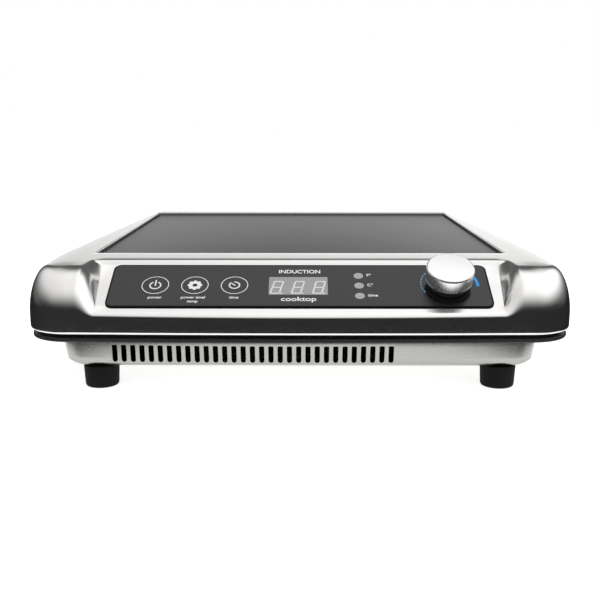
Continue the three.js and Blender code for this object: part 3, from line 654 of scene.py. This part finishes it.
def opening_ring(inset, z):
    """A ring that lies this far inside the glass opening."""
    radius = max(LEAST_RADIUS, OPENING["radius"] - inset)
    return ring_at(outline(OPENING["half"] - inset, OPENING["front"] + inset, 0, radius,
                           OPENING["rear"] - inset, radius), 0, z)


def make_gasket():
    """The seal shows as a soft rounded bead between the shell and the glass."""
    low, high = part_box("glass_gasket")[0].z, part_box("glass_gasket")[1].z
    seat = GLASS_LOW.z - GAP
    profile = [(8, low), (0.35, low), (0.35, high - 0.6 * MM), (0.6, high - 0.15 * MM), (1.1, high),
               (1.9, high), (2.4, high - 0.15 * MM), (2.65, high - 0.6 * MM), (2.65, seat), (8, seat)]
    gasket = loft("gasket_bead", [opening_ring(inset * MM, z) for inset, z in profile], True, sharp=50)
    dress(gasket, SILICONE, stands_for=["glass_gasket"])


# ---------------------------------------------------------------- base

TRIM_STEP = 37.2 * MM
TRIM_GROOVE = 4 * MM


def make_trim():
    """A moulded ring with a step along its upper edge, which shows as a dark groove below the shell."""
    low, high = TRIM_LOW.z, TRIM_HIGH.z
    rings = [ring_at(TRIM_LINE, -out * MM, z) for out, z in (
        (0.8, low), (0.3, low + 0.15 * MM), (0, low + 0.6 * MM), (0, TRIM_STEP - 0.6 * MM),
        (0.3, TRIM_STEP - 0.15 * MM), (0.8, TRIM_STEP))]
    rings += [ring_at(TRIM_LINE, -TRIM_GROOVE, TRIM_STEP), ring_at(TRIM_LINE, -TRIM_GROOVE, high)]
    rings += [ring_at(TRAY_TOP_LINE, GAP, high), ring_at(TRAY_TOP_LINE, GAP, low)]
    trim = loft("trim_ring", rings, True, sharp=50)
    dress(trim, TRIM_GREY, stands_for=["base_trim"])


# Half width, front, bow, corner radius and rear of the tray at each height, all in millimetres.
TRAY_PROFILE = (
    (15.5, (152, -175.5, 0.5, 12, 177)),
    (16.6, (155.8, -179, 1.4, 15, 178.8)),
    (18.6, (159, -181.4, 3, 18, 180.2)),
    (33, (162.7, -184.5, 5.7, 22, 181)),
)


def tray_rings(grow):
    """Rings up the tray's wall, with the bend at its foot drawn as a smooth curve."""
    floor, bend, low, top = [values for _, values in TRAY_PROFILE]
    heights = [z for z, _ in TRAY_PROFILE]
    rings = []
    for t in steps(0, 1, 10):
        values = [lerp(lerp(a, b, t), lerp(b, c, t), t) for a, b, c in zip(floor, bend, low)]
        z = lerp(lerp(heights[0], heights[1], t), lerp(heights[1], heights[2], t), t)
        rings.append(ring_at(tray_line(*values), grow, z * MM))
    for t in steps(0, 1, 4)[1:]:
        values = [lerp(a, b, t) for a, b in zip(low, top)]
        rings.append(ring_at(tray_line(*values), grow, lerp(heights[2], heights[3], t) * MM))
    return rings


TRAY_SHEET = 1.2 * MM
TRAY_RIM = (38.85 * MM, 39.75 * MM)
SLOTS = {"count": 31, "pitch": 6.13 * MM, "first": -123 * MM, "wide": 3.5 * MM,
         "low": 19 * MM, "high": 31 * MM}
REAR_SLOTS = {"count": 14, "pitch": 8 * MM, "first": -10 * MM, "wide": 3 * MM,
              "low": 20 * MM, "high": 31 * MM}
SLOT_CORNER = 0.7 * MM
FAN_X, FAN_Y, FAN_REACH = -82 * MM, 56 * MM, 40 * MM
FAN_SLOT_COUNT, FAN_SLOT_PITCH, FAN_SLOT_WIDE = 9, 9 * MM, 4 * MM
GLAND_HOLE = 6.8 * MM
# From where to where the cutters reach, outwards through the walls and up through the floor.
WALL_CUT = (170 * MM, 195 * MM)
FLOOR_CUT = (10 * MM, 20 * MM)


def slot_outline(x, low, high, wide):
    """A slot with a round lower end and small round upper corners."""
    half = wide / 2
    bottom = arc(x, low + half, half, 180, 360, 10)
    right = arc(x + half - SLOT_CORNER, high - SLOT_CORNER, SLOT_CORNER, 0, 90, 4)
    left = arc(x - half + SLOT_CORNER, high - SLOT_CORNER, SLOT_CORNER, 90, 180, 4)
    return bottom + right + left


def slot_row(row):
    return [slot_outline(row["first"] + i * row["pitch"], row["low"], row["high"], row["wide"])
            for i in range(row["count"])]


def fan_slots():
    """Slots that fill a circle under the fan."""
    outlines = []
    for i in range(FAN_SLOT_COUNT):
        off = (i - FAN_SLOT_COUNT // 2) * FAN_SLOT_PITCH
        reach = math.sqrt(FAN_REACH ** 2 - off ** 2)
        outlines.append(slot_outline(FAN_X + off, FAN_Y - reach, FAN_Y + reach, FAN_SLOT_WIDE))
    return outlines


def make_tray():
    """A pan whose rim turns out over the trim. Its inside floor lies a sheet higher than its underside."""
    rim_low, rim_high = TRAY_RIM
    outer = tray_rings(0)
    inner = tray_rings(-TRAY_SHEET)
    inner[0] = [p + Vector((0, 0, TRAY_SHEET)) for p in inner[0]]
    rings = [
        *outer, ring_at(TRAY_TOP_LINE, 0, rim_low), ring_at(TRIM_LINE, -TRIM_GROOVE - GAP, rim_low),
        ring_at(TRIM_LINE, -TRIM_GROOVE - GAP, rim_high), ring_at(TRAY_TOP_LINE, -TRAY_SHEET, rim_high),
        *inner[::-1],
    ]
    tray = loft("tray_skin", rings, False, sharp=50)
    stand = Matrix.Rotation(math.pi / 2, 4, "X")
    near, far = WALL_CUT
    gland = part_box("cord_gland")
    gland_x, gland_z = (gland[0].x + gland[1].x) / 2, (gland[0].z + gland[1].z) / 2
    cutters = [
        plate("cut_front", slot_row(SLOTS), near, far, stand),
        plate("cut_rear", slot_row(REAR_SLOTS), -far, -near, stand),
        plate("cut_gland", [circle(gland_x, gland_z, GLAND_HOLE)], -far, -near, stand),
        plate("cut_fan", fan_slots(), *FLOOR_CUT),
    ]
    for cutter in cutters:
        cut_away(tray, cutter)
    dress(tray, TRAY_STEEL, stands_for=["bottom_tray"])


def make_feet():
    for corner in ("front_left", "front_right", "rear_left", "rear_right"):
        low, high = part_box(f"foot_{corner}")
        place = Matrix.Translation(((low.x + high.x) / 2, (low.y + high.y) / 2, 0))
        top = high.z / MM
        profile = in_mm((2.6, 6), (5.2, 6), (5.2, 0), (9.9, 0), (10.9, 0.4), (11.3, 1.6), (12, top),
                        (2.6, top), (2.6, 6))
        foot = lathe(f"foot_{corner}_rubber", rounded(profile, 0.5 * MM), place, 64)
        dress(foot, RUBBER, stands_for=[f"foot_{corner}"])


# ---------------------------------------------------------------- control panel

INK = 0.04 * MM
FILM_THICK = 2 * INK
FILM_INSET = 1.1 * MM
KNOB_HOLE = 8.2 * MM
DISPLAY_RADIUS = 0.6 * MM


def panel_outline(inset):
    return rounded_box(PANEL_HALF - inset, PANEL_HALF_HIGH - inset, PANEL_RADIUS - inset)


def display_outline(grow):
    (x, y), (half_x, half_y) = DISPLAY_AT, DISPLAY_HALF
    box = rounded_box(half_x + grow, half_y + grow, DISPLAY_RADIUS, 4)
    return [(x + px, y + py) for px, py in box]


def panel_holes(key_gap, lens_gap, knob_radius, display_gap):
    """Holes for the keys, the lenses, the knob and the display, with these gaps round them."""
    holes = [circle(x, 0, KEY_RADIUS + key_gap) for x in KEY_X.values()]
    holes += [circle(LENS_X, y, LENS_RADIUS + lens_gap, 32) for y in LENS_UP_SLOPE.values()]
    holes.append(circle(KNOB_AT.x, KNOB_UP_SLOPE, knob_radius))
    holes.append(display_outline(display_gap))
    return holes


def make_panel():
    """A black base with a printed film on it that stops just short of the base's edge."""
    holes = panel_holes(GAP / 2, GAP / 2, KNOB_HOLE, GAP / 2)
    base = plate("panel_base", [panel_outline(0), *holes], -PANEL_THICK, -FILM_THICK, PANEL_PLACE)
    dress(base, PANEL_EDGE, stands_for=["control_panel"])
    film = plate("panel_film", [panel_outline(FILM_INSET), *holes], -FILM_THICK, 0, PANEL_PLACE)
    dress(film, PANEL_FILM)


def print_on(name, outlines, look, body="housing"):
    """Thin ink on the panel or on what lies level with it."""
    ink = plate(name, outlines, 0, INK, PANEL_PLACE)
    return dress(ink, look, body)


ICON_LINE = 0.95 * MM
HAND_LINE = 0.9 * MM


def even_stroke(path, width):
    return stroke(path, [width] * len(path))


def power_icon(x):
    ring = arc(x, -0.2 * MM, 3.6 * MM, 122, 418, 30)
    bar = [(x, -0.3 * MM), (x, 2.5 * MM), (x, 5.2 * MM)]
    return [even_stroke(ring, ICON_LINE), even_stroke(bar, ICON_LINE)]


def gear_icon(x):
    outer = []
    teeth = 8
    root, tip, bore = 4.1 * MM, 4.9 * MM, 1.7 * MM
    for i in range(teeth):
        middle = 90 + i * 360 / teeth
        outer += arc(x, 0, root, middle - 22, middle - 17, 1)
        outer += arc(x, 0, tip, middle - 11, middle + 11, 4)
        outer += arc(x, 0, root, middle + 17, middle + 22, 1)
    return [outer, circle(x, 0, bore, 32)]


def timer_icon(x):
    ring = arc(x, 0, 3.4 * MM, 135, 450, 30)
    hand = [(x - 1.5 * MM, 1.6 * MM), (x - 0.7 * MM, 0.8 * MM), (x + 0.2 * MM, 0)]
    return [even_stroke(ring, ICON_LINE), even_stroke(hand, HAND_LINE)]


KEY_ICONS = {"power": power_icon, "mode": gear_icon, "timer": timer_icon}
KEY_THICK = 2 * MM
KEY_CHAMFER = 0.1 * MM
KEY_RING = (9.2 * MM, 8.65 * MM)


def make_keys():
    profile = [(0, -KEY_THICK), (KEY_RADIUS, -KEY_THICK), (KEY_RADIUS, -KEY_CHAMFER),
               (KEY_RADIUS - KEY_CHAMFER, 0), (0, 0)]
    for name, x in KEY_X.items():
        body = f"{name}_key"
        disc = lathe(f"{name}_key_disc", profile, PANEL_PLACE @ Matrix.Translation((x, 0, 0)))
        dress(disc, PANEL_FILM, body, [f"{name}_key"])
        print_on(f"{name}_key_ring", [circle(x, 0, radius) for radius in KEY_RING], WHITE_INK, body)
        print_on(f"{name}_key_icon", KEY_ICONS[name](x), WHITE_INK, body)


def letter(name, words, x, y, size, bold, wide=1.0, align="CENTER"):
    """A generic word printed on the panel, centred on (x, y) or starting there, all in millimetres."""
    curve = bpy.data.curves.new(name, "FONT")
    curve.body = words
    curve.size = size * MM
    curve.offset = bold * MM
    curve.align_x = align
    curve.align_y = "CENTER"
    curve.extrude = INK / 2
    shift = Matrix.Translation((x * MM, y * MM, INK / 2)) @ Matrix.Diagonal((wide, 1, 1, 1))
    dress(curve_to_piece(name, curve, shift, PANEL_PLACE), WHITE_INK)


def make_lettering():
    letter("label_power", "power", -95.6, -12.9, 3.5, bold=0.07)
    letter("label_level", "power level", -70.3, -12.9, 3.4, bold=0.07)
    letter("label_temp", "temp", -70.3, -16.9, 3.4, bold=0.07)
    letter("label_timer", "time", -43.3, -12.9, 3.5, bold=0.07)
    letter("label_fahrenheit", "F°", 45.4, 10.8, 3.8, bold=0.08, align="LEFT")
    letter("label_celsius", "C°", 45.4, 0.2, 3.8, bold=0.08, align="LEFT")
    letter("label_time", "time", 45.4, -10.6, 3.7, bold=0.08, align="LEFT")
    letter("title_above", "INDUCTION", 0, 14.6, 5.3, bold=0.12, wide=0.96)
    letter("title_below", "cooktop", -0.5, -14.6, 6, bold=0.12, wide=1.15)


# The segments of a digit one unit wide and two high, each as its two end points.
SEGMENTS = (((0, 0), (1, 0)), ((0, 1), (1, 1)), ((0, 2), (1, 2)), ((0, 0), (0, 1)), ((0, 1), (0, 2)),
            ((1, 0), (1, 1)), ((1, 1), (1, 2)))
SEGMENT_TRIM_X, SEGMENT_TRIM_Y = 0.07, 0.09
DIGIT_LEFTS = (-19.4 * MM, -5.3 * MM, 8.8 * MM)
DIGIT_LOW, DIGIT_WIDE, DIGIT_HIGH = -8.3 * MM, 6 * MM, 12.4 * MM
DIGIT_SLANT = 2.6 * MM
DIGIT_LINE = 1.1 * MM
DOT_RIGHT, DOT_UP, DOT_RADIUS = 7.4 * MM, -8.4 * MM, 0.7 * MM
WINDOW_BOTTOM, WINDOW_FACE = -1.7 * MM, -0.1 * MM
WINDOW_BEVEL = 0.05 * MM


def digit(left):
    """The strokes of a slanted figure eight, one outline for each segment."""
    outlines = []
    for start, end in SEGMENTS:
        ends = []
        for a, b in ((start, end), (end, start)):
            x, y = lerp(a[0], b[0], SEGMENT_TRIM_X), lerp(a[1], b[1], SEGMENT_TRIM_Y)
            ends.append((left + x * DIGIT_WIDE + y / 2 * DIGIT_SLANT, DIGIT_LOW + y / 2 * DIGIT_HIGH))
        middle = tuple((p + q) / 2 for p, q in zip(*ends))
        outlines.append(even_stroke([ends[0], middle, ends[1]], DIGIT_LINE))
    return outlines


def make_display():
    window = plate("display_filter", [display_outline(0)], WINDOW_BOTTOM, WINDOW_FACE, PANEL_PLACE,
                   bevel=WINDOW_BEVEL)
    dress(window, DISPLAY_GREY, stands_for=["display_window"])
    for number, left in enumerate(DIGIT_LEFTS, 1):
        outlines = [*digit(left), circle(left + DOT_RIGHT, DOT_UP, DOT_RADIUS, 16)]
        marks = [plate(f"mark_{number}_{i}", [mark], WINDOW_FACE, WINDOW_FACE + INK, PANEL_PLACE)
                 for i, mark in enumerate(outlines)]
        dress(join(f"digit_{number}", marks), SEGMENT)


def make_lenses():
    """Round lenses with a ring-shaped groove round a raised middle."""
    edge = LENS_RADIUS / MM
    profile = in_mm((0, -1.6), (edge, -1.6), (edge, -0.25), (3.1, -0.1), (2.5, -0.1), (1.9, -0.4),
                    (1.3, -0.4), (0.9, -0.12), (0, -0.1))
    for name, y in LENS_UP_SLOPE.items():
        place = PANEL_PLACE @ Matrix.Translation((LENS_X, y, 0))
        lens = lathe(f"lens_{name}", rounded(profile, 0.2 * MM), place, 48)
        dress(lens, LENS_GREY, stands_for=[f"indicator_lens_{name}"])


SCALE_RADIUS = 19 * MM
SCALE_CENTRE = (KNOB_AT.x + 0.8 * MM, KNOB_UP_SLOPE + 0.6 * MM)
DASH_COUNT, DASH_HALF_ANGLE = 10, 2.4
DASH_ANGLES, BAR_ANGLES = (203, 115), (110, -4)
DASH_LINE = 0.9 * MM
BAR_LINES = (1 * MM, 2.1 * MM)
BAR_COUNT = 30


def make_scale():
    """A blue scale that swells clockwise round the knob, from pale dashes to a strong bar."""
    dashes = []
    for middle in steps(*DASH_ANGLES, DASH_COUNT - 1):
        path = arc(*SCALE_CENTRE, SCALE_RADIUS, middle + DASH_HALF_ANGLE, middle - DASH_HALF_ANGLE, 4)
        dashes.append(even_stroke(path, DASH_LINE))
    print_on("scale_low", dashes, PALE_BLUE_INK)
    bar = stroke(arc(*SCALE_CENTRE, SCALE_RADIUS, *BAR_ANGLES, BAR_COUNT), steps(*BAR_LINES, BAR_COUNT))
    print_on("scale_high", [bar], BLUE_INK)


# ---------------------------------------------------------------- knob

KNOB_PLACE = PANEL_PLACE @ Matrix.Translation((KNOB_AT.x, KNOB_UP_SLOPE, 0))


def make_knob():
    """A turned cap with a fine groove low on its side, on a moulded skirt."""
    cap_profile = in_mm((0, 12), (3.3, 12), (3.3, 4.5), (15.3, 4.5), (15.65, 4.75), (15.7, 5.5),
                        (15.5, 5.8), (15.5, 6.2), (15.9, 6.6), (16, 13.8), (15.6, 14.7), (14.9, 15.2),
                        (0, 15.2))
    cap = lathe("knob_cap_turned", rounded(cap_profile, 0.25 * MM), KNOB_PLACE, 128)
    dress(cap, KNOB_METAL, "knob", ["knob_cap"])
    skirt_profile = in_mm((3.3, 2.6), (9, 2.6), (9, 0.35), (13.9, 0.35), (14.2, 0.7), (14.2, 4.2),
                          (3.3, 4.2), (3.3, 2.6))
    skirt = lathe("knob_skirt_moulded", skirt_profile, KNOB_PLACE)
    dress(skirt, BLACK_PLASTIC, "knob", ["knob_skirt"])


# ---------------------------------------------------------------- studio

FLOOR_HALF = 12
FLOOR_GLOW = 0.75


def make_floor():
    """A plain pale floor. Its own glow keeps it even."""
    corners = [(x * FLOOR_HALF, y * FLOOR_HALF, 0) for x, y in ((-1, -1), (1, -1), (1, 1), (-1, 1))]
    mesh = bpy.data.meshes.new("floor")
    mesh.from_pydata(corners, [], [(0, 1, 2, 3)])
    floor = new_object("floor", mesh)
    look = finish("floor_pale", (0.82, 0.82, 0.82), 0.9, 0, (3, 3, 3), tone=0.01, bump=0)
    shader = look.node_tree.nodes["Principled BSDF"]
    shader.inputs["Emission Color"].default_value = (1, 1, 1, 1)
    shader.inputs["Emission Strength"].default_value = FLOOR_GLOW
    shader.inputs["Specular IOR Level"].default_value = 0
    mesh.materials.append(look)


# The flag's opening lies FLAG_GAP outside the cooktop with its corners cut off by FLAG_CUT, and its outer
# edge is FLAG_GROW times as far out, past the floor's edge.
FLAG_GAP = 50 * MM
FLAG_CUT = 60 * MM
FLAG_Z = 1 * MM
FLAG_GROW = 60


def make_flag():
    """A dark surround just above the floor that only reflections see, like black cards round the set."""
    wide, deep = SHELL_HIGH.x + FLAG_GAP, SHELL_HIGH.y + FLAG_GAP
    inner = [(-wide + FLAG_CUT, -deep), (wide - FLAG_CUT, -deep), (wide, -deep + FLAG_CUT),
             (wide, deep - FLAG_CUT), (wide - FLAG_CUT, deep), (-wide + FLAG_CUT, deep),
             (-wide, deep - FLAG_CUT), (-wide, -deep + FLAG_CUT)]
    count = len(inner)
    points = [(x * grow, y * grow, FLAG_Z) for grow in (1, FLAG_GROW) for x, y in inner]
    faces = [(i, (i + 1) % count, (i + 1) % count + count, i + count) for i in range(count)]
    mesh = bpy.data.meshes.new("flag")
    mesh.from_pydata(points, [], faces)
    flag = new_object("flag", mesh)
    look = finish("flag_black", (0.006, 0.006, 0.006), 0.9, bump=0, specular_ior_level=0)
    mesh.materials.append(look)
    flag.visible_camera = False
    flag.visible_diffuse = False
    flag.visible_shadow = False
    flag.visible_transmission = False


class Arithmetic:
    """Builds sums out of nodes in one tree. A value is a number or another node's socket."""

    def __init__(self, tree):
        self.tree = tree

    def math(self, operation, a, b=0):
        node = self.tree.nodes.new("ShaderNodeMath")
        node.operation = operation
        for socket, value in zip(node.inputs, (a, b)):
            self.feed(socket, value)
        return node.outputs["Value"]

    def feed(self, socket, value):
        if isinstance(value, (int, float)):
            socket.default_value = value
        else:
            self.tree.links.new(value, socket)

    def ramp(self, value, low, high):
        """0 below low, 1 above high, smooth between."""
        node = self.tree.nodes.new("ShaderNodeMapRange")
        node.interpolation_type = "SMOOTHSTEP"
        for socket, source in (("Value", value), ("From Min", low), ("From Max", high)):
            self.feed(node.inputs[socket], source)
        return node.outputs["Result"]

    def blend(self, a, b, share):
        """a where share is 0, b where it is 1."""
        return self.math("ADD", a, self.math("MULTIPLY", share, self.math("SUBTRACT", b, a)))


# The reflected room is described by direction, as a vector one long whose parts point right, back and up.
# The overhead light starts at the first upward part and is full at the second.
LIGHT_BEHIND, LIGHT_BESIDE, LIGHT_AHEAD = (0.68, 0.95), (0.05, 0.65), (0.04, 0.85)
LIGHT_STRENGTH = 1.1
# The sideways and backward parts over which a direction comes to count as beside or behind.
BESIDE_RANGE, BEHIND_RANGE = (0.35, 0.8), (-0.35, 0.35)
# A bright band low behind the cooktop. It fades out between these upward parts.
HORIZON_STRENGTH = 1.2
HORIZON_FADE, HORIZON_RANGE = (0.14, 0.24), (0.87, 0.95)
# The walls without any light, in front and behind, and how much stronger the lights are on the right.
ROOM_DARK, ROOM_BEHIND = 0.008, 0.10
RIGHT_GAIN = 0.35


def make_world():
    """A white background for the camera, and for everything else a room with a soft light overhead that
    reaches lower at the sides and in front, and a low bright band behind. The walls are dim behind and
    dark in front, and the lights are stronger on the right."""
    world = bpy.data.worlds.new("studio")
    world.use_nodes = True
    bpy.context.scene.world = world
    tree = world.node_tree
    calc = Arithmetic(tree)
    where = tree.nodes.new("ShaderNodeTexCoord")
    split = tree.nodes.new("ShaderNodeSeparateXYZ")
    tree.links.new(where.outputs["Generated"], split.inputs["Vector"])
    x, y, z = split.outputs
    beside = calc.ramp(calc.math("ABSOLUTE", x), *BESIDE_RANGE)
    behind = calc.ramp(y, *BEHIND_RANGE)
    start, full = [calc.blend(calc.blend(ahead, back, behind), side, beside)
                   for ahead, back, side in zip(LIGHT_AHEAD, LIGHT_BEHIND, LIGHT_BESIDE)]
    overhead = calc.math("MULTIPLY", calc.ramp(z, start, full), LIGHT_STRENGTH)
    low = calc.math("SUBTRACT", 1, calc.ramp(z, *HORIZON_FADE))
    band = calc.math("MULTIPLY", low, calc.ramp(y, *HORIZON_RANGE))
    horizon = calc.math("MULTIPLY", band, HORIZON_STRENGTH)
    gain = calc.math("ADD", 1, calc.math("MULTIPLY", x, RIGHT_GAIN))
    lights = calc.math("MULTIPLY", calc.math("ADD", overhead, horizon), gain)
    walls = calc.blend(ROOM_DARK, ROOM_BEHIND, behind)
    rays = tree.nodes.new("ShaderNodeLightPath")
    strength = calc.blend(calc.math("ADD", lights, walls), 1, rays.outputs["Is Camera Ray"])
    background = tree.nodes["Background"]
    background.inputs["Color"].default_value = (1, 1, 1, 1)
    tree.links.new(strength, background.inputs["Strength"])


make_camera()
dress_frame()
make_shell()
make_glass()
make_gasket()
make_trim()
make_tray()
make_feet()
make_panel()
make_keys()
make_lettering()
make_display()
make_lenses()
make_scale()
make_knob()
make_floor()
make_flag()
make_world()
bpy.context.scene.view_settings.view_transform = "Standard"
